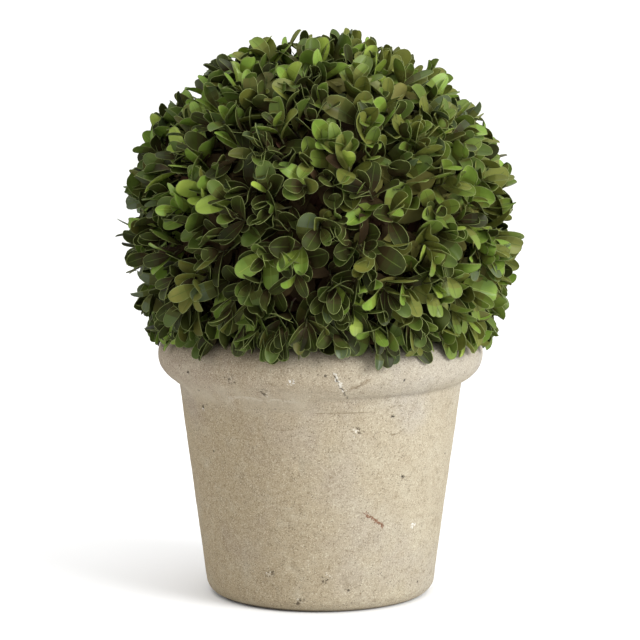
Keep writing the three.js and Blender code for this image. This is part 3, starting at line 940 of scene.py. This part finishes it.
def make_inner_leaves(sprigs, branches):
    """The small leaves deep inside, at random places along each twig and turned every way, dim except
    for those towards the sunnier side, which are painted light in a lighter colour. Those that
    would enter the pot or come near the clipped surface are left out."""
    owner = np.repeat(np.arange(len(sprigs["owner"])), INNER_ON_TWIG)
    total = len(owner)
    foot = BALL_CENTRE + branches[sprigs["owner"][owner]] * (BRANCH_REACH - 14 * MM)
    share = rng.uniform(0, 1, (total, 1))
    along = unit(rng.normal(0, 1, (total, 3)) + 0.3 * sprigs["direction"][owner])
    upper = rng.normal(0, 1, (total, 3)) + sprigs["direction"][owner]
    length = LEAF_LENGTH * rng.uniform(0.5, 0.8, total)
    leaves = {
        "start": foot + share * (sprigs["root"][owner] - foot),
        "along": along,
        "upper": square_to(along, upper),
        "length": length,
        "breadth": length * LEAF_BREADTH,
        "fold": rng.normal(0.2, 0.1, total),
        "cup": rng.normal(0, 0.2, total),
        "curl": rng.normal(0.3, 0.6, total),
        "twist": rng.normal(0, 0.3, total),
        "widest": rng.uniform(0.5, 0.7, total),
    }
    points = leaf_points(leaves, COARSE_ROWS, COARSE_COLUMNS)
    inner = kept(leaves, clear_of_pot(points) & (furthest(points) < INNER_WITHIN))
    # Painted light: inner leaves towards SUNNY take a much lighter copy of their colour.
    lit = 1.3 * unit(inner["start"] - BALL_CENTRE) @ SUNNY > rng.random(len(inner["length"]))
    brown = rng.random(len(inner["length"])) < 0.45
    shades = {
        "inner_green": (~brown & ~lit, (0.054, 0.033, 0.0165), (0.078, 0.047, 0.023)),
        "inner_lit": (~brown & lit, (0.140, 0.128, 0.038), (0.190, 0.172, 0.052)),
        "inner_brown": (brown, (0.062, 0.030, 0.018), (0.092, 0.044, 0.027)),
    }
    pieces = []
    for name, (chosen, dark, light) in shades.items():
        finish = leaf_finish(name, dark, light, 0.7, 0.05)
        pieces.append(blades(name, kept(inner, chosen), finish, COARSE_ROWS, COARSE_COLUMNS))
    return pieces


# A tone's share of the sprigs, how much that share grows towards the sunnier side, where it
# paints light, its darker and lighter colour, its roughness and sheen, and the painted shade on
# the foot of its blades
Tone = namedtuple("Tone", "share sunnier dark light roughness sheen foot")
TONES = {
    "deep_green": Tone(0.45, -0.7, (0.0215, 0.0238, 0.0052), (0.036, 0.047, 0.0085), 0.44, 0.12, "dark"),
    "mid_green": Tone(0.25, -0.75, (0.050, 0.076, 0.012), (0.081, 0.119, 0.019), 0.42, 0.2, "green"),
    "olive": Tone(0.09, 0.2, (0.070, 0.066, 0.014), (0.094, 0.101, 0.017), 0.48, 0.2, "green"),
    "sunlit_green": Tone(0.05, 9.0, (0.084, 0.124, 0.018), (0.128, 0.176, 0.027), 0.42, 0.2, "lit"),
    "sunlit_olive": Tone(0.055, 9.0, (0.100, 0.109, 0.019), (0.140, 0.153, 0.027), 0.46, 0.2, "lit"),
    "grey_green": Tone(0.055, -0.2, (0.046, 0.064, 0.024), (0.070, 0.092, 0.036), 0.4, 0.25, "green"),
    "fresh_green": Tone(0.215, 0.2, (0.121, 0.193, 0.026), (0.184, 0.277, 0.043), 0.4, 0.2, "fresh"),
    "lime": Tone(0.045, 0.2, (0.20, 0.275, 0.038), (0.28, 0.355, 0.058), 0.4, 0.2, "lime"),
    "ochre": Tone(0.012, 0.0, (0.092, 0.094, 0.016), (0.135, 0.135, 0.024), 0.5, 0.2, "lit"),
}
# Painted shade on the lower part of the blades, the same for several tones: the darker and lighter
# colour of the foot, and of the throat between the foot and the rest
FOOT_SHADES = {
    "dark": ((0.0280, 0.0205, 0.0078), (0.046, 0.0345, 0.013)),
    "green": ((0.038, 0.037, 0.0095), (0.058, 0.056, 0.014)),
    "lit": ((0.078, 0.084, 0.017), (0.110, 0.116, 0.025)),
    "fresh": ((0.092, 0.126, 0.017), (0.134, 0.178, 0.026)),
    "lime": ((0.135, 0.185, 0.026), (0.19, 0.245, 0.038)),
}
THROAT_SHADES = {
    "dark": ((0.0245, 0.0225, 0.0064), (0.041, 0.040, 0.0108)),
    "green": ((0.047, 0.055, 0.011), (0.072, 0.080, 0.016)),
    "lit": ((0.090, 0.104, 0.019), (0.128, 0.140, 0.027)),
    "fresh": ((0.115, 0.160, 0.022), (0.170, 0.226, 0.034)),
    "lime": ((0.170, 0.235, 0.033), (0.24, 0.308, 0.050)),
}


def deal_tones(sprigs, leaves):
    """The name of a tone for each leaf: most take their sprig's, and some draw one of their own, so
    that a spray is of one colour with a few odd leaves in it."""
    names = list(TONES)
    share, sunnier = np.array([(tone.share, tone.sunnier) for tone in TONES.values()]).T
    # Painted light: tones with a positive sunnier value grow likelier, and dark ones rarer, on the side
    # of the ball towards SUNNY.
    sunlight = (sprigs["direction"] @ SUNNY)[:, None]
    chance = share * np.maximum(1 + sunnier * sunlight, 0.1)
    # Painted shade: deep green grows likelier towards the front of the ball.
    frontness = np.clip(sprigs["direction"] @ FRONT, 0, 1)
    chance[:, names.index("deep_green")] *= 1 + FRONT_PAINTED_SHADE * frontness**3
    bounds = np.cumsum(chance / chance.sum(axis=1, keepdims=True), axis=1)

    def drawn(bounds):
        passed = (rng.random((len(bounds), 1)) > bounds).sum(axis=1)
        return np.minimum(passed, len(names) - 1)

    of_sprig = drawn(bounds)[leaves["sprig"]]
    own = drawn(bounds[leaves["sprig"]])
    return np.array(names)[np.where(rng.random(len(own)) < TRUE_TO_SPRIG, of_sprig, own)]


def make_limbs(branches, sprigs):
    """Boughs from the stem's head, each to its own part of the ball, branches from the nearest
    bough's tip, twigs from the branches to the sprigs, and the sprigs' green stems."""
    head = np.array([[0, 0, stem_high.z - 3 * MM]])
    towards = spiral(BOUGHS, BOUGH_SLOPE)
    bough_tip = BALL_CENTRE + towards * BOUGH_REACH
    nearest = np.argmax(branches @ towards.T, axis=1)
    branch_tip = BALL_CENTRE + branches * BRANCH_REACH
    owner, root, axis = sprigs["owner"], sprigs["root"], sprigs["axis"]
    boughs = tubes(head, bough_tip, DOWN * -14 * MM, towards * -12 * MM, (3.4 * MM, 2.3 * MM), 9, 8)
    leans = towards[nearest] * 14 * MM, branches * -14 * MM
    middle = tubes(bough_tip[nearest], branch_tip, *leans, (1.5 * MM, 0.9 * MM), 7, 6)
    leans = branches[owner] * 6 * MM, axis * -6 * MM
    twigs = tubes(branch_tip[owner], root, *leans, (0.8 * MM, 0.6 * MM), 5, 5)
    leans = axis * 3 * MM, axis * -3 * MM
    stems = tubes(root, root + axis * SPRIG_LENGTH, *leans, (0.75 * MM, 0.45 * MM), 4, 4)
    brown = bark_finish("twig_bark", (0.04, 0.024, 0.015), (0.12, 0.075, 0.045), 2.5 * MM)
    green = bark_finish("sprig_bark", (0.06, 0.055, 0.02), (0.12, 0.13, 0.045), 2 * MM)
    return [
        mesh_piece("boughs", *boughs, brown),
        mesh_piece("branches", *middle, brown),
        mesh_piece("twigs", *twigs, brown),
        mesh_piece("sprig_stems", *stems, green),
    ]


def make_old_leaves(sprigs, old):
    """The old leaves behind the others: narrower, and some of those on the sunnier side in a much
    lighter colour, painted light.
    """
    old["breadth"] = old["breadth"] * 0.8
    # Painted light: old leaves towards SUNNY take a lit copy of their colour.
    lit = sprigs["direction"][old["sprig"]] @ SUNNY > rng.uniform(0.1, 0.6, len(old["sprig"]))
    dull = leaf_finish("old_leaf", (0.037, 0.0230, 0.0115), (0.053, 0.037, 0.0150), 0.7, 0.05)
    lit_old_finish = leaf_finish("old_lit_leaf", (0.120, 0.114, 0.029), (0.165, 0.156, 0.042), 0.6, 0.1)
    return [blades("leaves_old", kept(old, ~lit), dull), blades("leaves_old_lit", kept(old, lit), lit_old_finish)]


def make_blades(leaves, tone):
    """The upper part of the blades in their own tones, and the foot and throat of each in darker
    colours, painted shade.
    """
    pieces = []
    for name, look in TONES.items():
        finish = leaf_finish(name, look.dark, look.light, look.roughness, look.sheen)
        chosen = kept(leaves, tone == name)
        pieces.append(blades("leaves_" + name, chosen, finish, LEAF_ROWS[THROAT_ENDS:]))
    # Painted shade: the foot and the throat of each blade take darker colours than its tip.
    for foot in FOOT_SHADES:
        chosen = kept(leaves, np.isin(tone, [name for name, look in TONES.items() if look.foot == foot]))
        finish = leaf_finish(foot + "_foot", *FOOT_SHADES[foot], 0.5, 0.08)
        pieces.append(blades("feet_" + foot, chosen, finish, LEAF_ROWS[: FOOT_ENDS + 1]))
        finish = leaf_finish(foot + "_throat_shade", *THROAT_SHADES[foot], 0.5, 0.14)
        pieces.append(blades("throats_" + foot, chosen, finish, LEAF_ROWS[FOOT_ENDS : THROAT_ENDS + 1]))
    return pieces


def make_margins_and_midribs(leaves, tone):
    bright = np.isin(tone, ["fresh_green", "lime"])
    lower = leaves["height"] < 0.5
    pale = leaf_finish("pale_margin", (0.125, 0.15, 0.045), (0.195, 0.225, 0.07), 0.6)
    rib = leaf_finish("midrib", (0.055, 0.08, 0.014), (0.085, 0.115, 0.02), 0.6)
    fresh_rib = leaf_finish("fresh_midrib", (0.19, 0.26, 0.045), (0.27, 0.34, 0.06), 0.6)
    return [
        margins("margins_inner", kept(leaves, lower & ~bright), pale),
        margins("margins_outer", kept(leaves, ~lower & ~bright), pale),
        margins("margins_fresh", kept(leaves, bright), pale),
        midribs("midribs", kept(leaves, ~bright), rib),
        midribs("midribs_fresh", kept(leaves, bright), fresh_rib),
    ]


def make_foliage():
    branches = branch_directions()
    sprigs = sprig_table(branches)
    leaves = settle(sprigs, leaf_table(sprigs))
    tips = leaf_points(leaves, LEAF_ROWS[-1:], np.zeros(1))[:, 0, 0]
    depth = np.linalg.norm(tips - BALL_CENTRE, axis=1) + rng.normal(0, 3 * MM, len(tips))
    old = kept(leaves, depth < OLD_WITHIN)
    leaves = kept(leaves, depth >= OLD_WITHIN)
    tone = deal_tones(sprigs, leaves)
    pieces = make_limbs(branches, sprigs) + make_old_leaves(sprigs, old) + make_blades(leaves, tone)
    pieces += make_margins_and_midribs(leaves, tone) + make_inner_leaves(sprigs, branches)
    for piece in pieces:
        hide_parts("foliage_ball")


# Studio and camera

FLOOR_HALF = 30.0
SKY_ALL_ROUND = 0.77
SKY_OVERHEAD = 1.2  # the sky's brightness adds this, times the square of the sine of its elevation
KEY_PLACE = Vector((1.58, -1.22, 1.05))
KEY_AIM = Vector((0, 0, 0.2))


def make_key_light():
    """One soft disk from the front on the right."""
    light = bpy.data.lights.new("key", "AREA")
    light.shape = "DISK"
    light.size = 1.2
    light.energy = 51
    light.color = (0.97, 0.985, 1.0)
    placed("key", light, KEY_PLACE, KEY_AIM - KEY_PLACE)


def make_studio():
    """A wide pale floor under a soft white sky."""
    pale = Finish("pale_floor", Roughness=0.9)
    pale.set("Base Color", pale.blend((0.81, 0.81, 0.81), (0.84, 0.84, 0.84), pale.noise(0.4)))
    corners = FLOOR_HALF * np.array([[-1, -1, 0], [1, -1, 0], [1, 1, 0], [-1, 1, 0]])
    floor = mesh_piece("floor", corners, [np.array([[0, 1, 2, 3]])], pale.material, smooth=False)
    world = bpy.data.worlds.new("soft_daylight")
    world.use_nodes = True
    sky = Nodes(world.node_tree)
    direction = sky.add("ShaderNodeTexCoord", {}, "Generated")
    rise = sky.add("ShaderNodeSeparateXYZ", {0: direction}, "Z")
    overhead = rise * rise * SKY_OVERHEAD + SKY_ALL_ROUND
    background = world.node_tree.nodes["Background"]
    world.node_tree.links.new(overhead.socket, background.inputs["Strength"])
    background.inputs["Color"].default_value = (1.0, 1.0, 1.0, 1.0)
    bpy.context.scene.world = world
    make_key_light()
    bpy.context.scene.view_settings.view_transform = "Standard"


LENS = 181.5
CAMERA_DISTANCE = 2.0
CAMERA_ELEVATION = math.radians(7.88)
CAMERA_AIM = Vector((0, 0, 170.2 * MM))
AXIS_PIXELS_RIGHT = 0.5  # of the middle of the 640 pixel frame
FRAME_PIXELS = 640


def make_camera():
    lens = bpy.data.cameras.new("camera")
    lens.lens = LENS
    lens.sensor_width = 36
    lens.shift_x = -AXIS_PIXELS_RIGHT / FRAME_PIXELS
    lens.clip_end = 100
    back = Vector((0, -math.cos(CAMERA_ELEVATION), math.sin(CAMERA_ELEVATION)))
    place = CAMERA_AIM + back * CAMERA_DISTANCE
    bpy.context.scene.camera = placed("camera", lens, place, -back)


make_camera()
make_pot()
make_mix()
make_stem()
make_foliage()
make_studio()
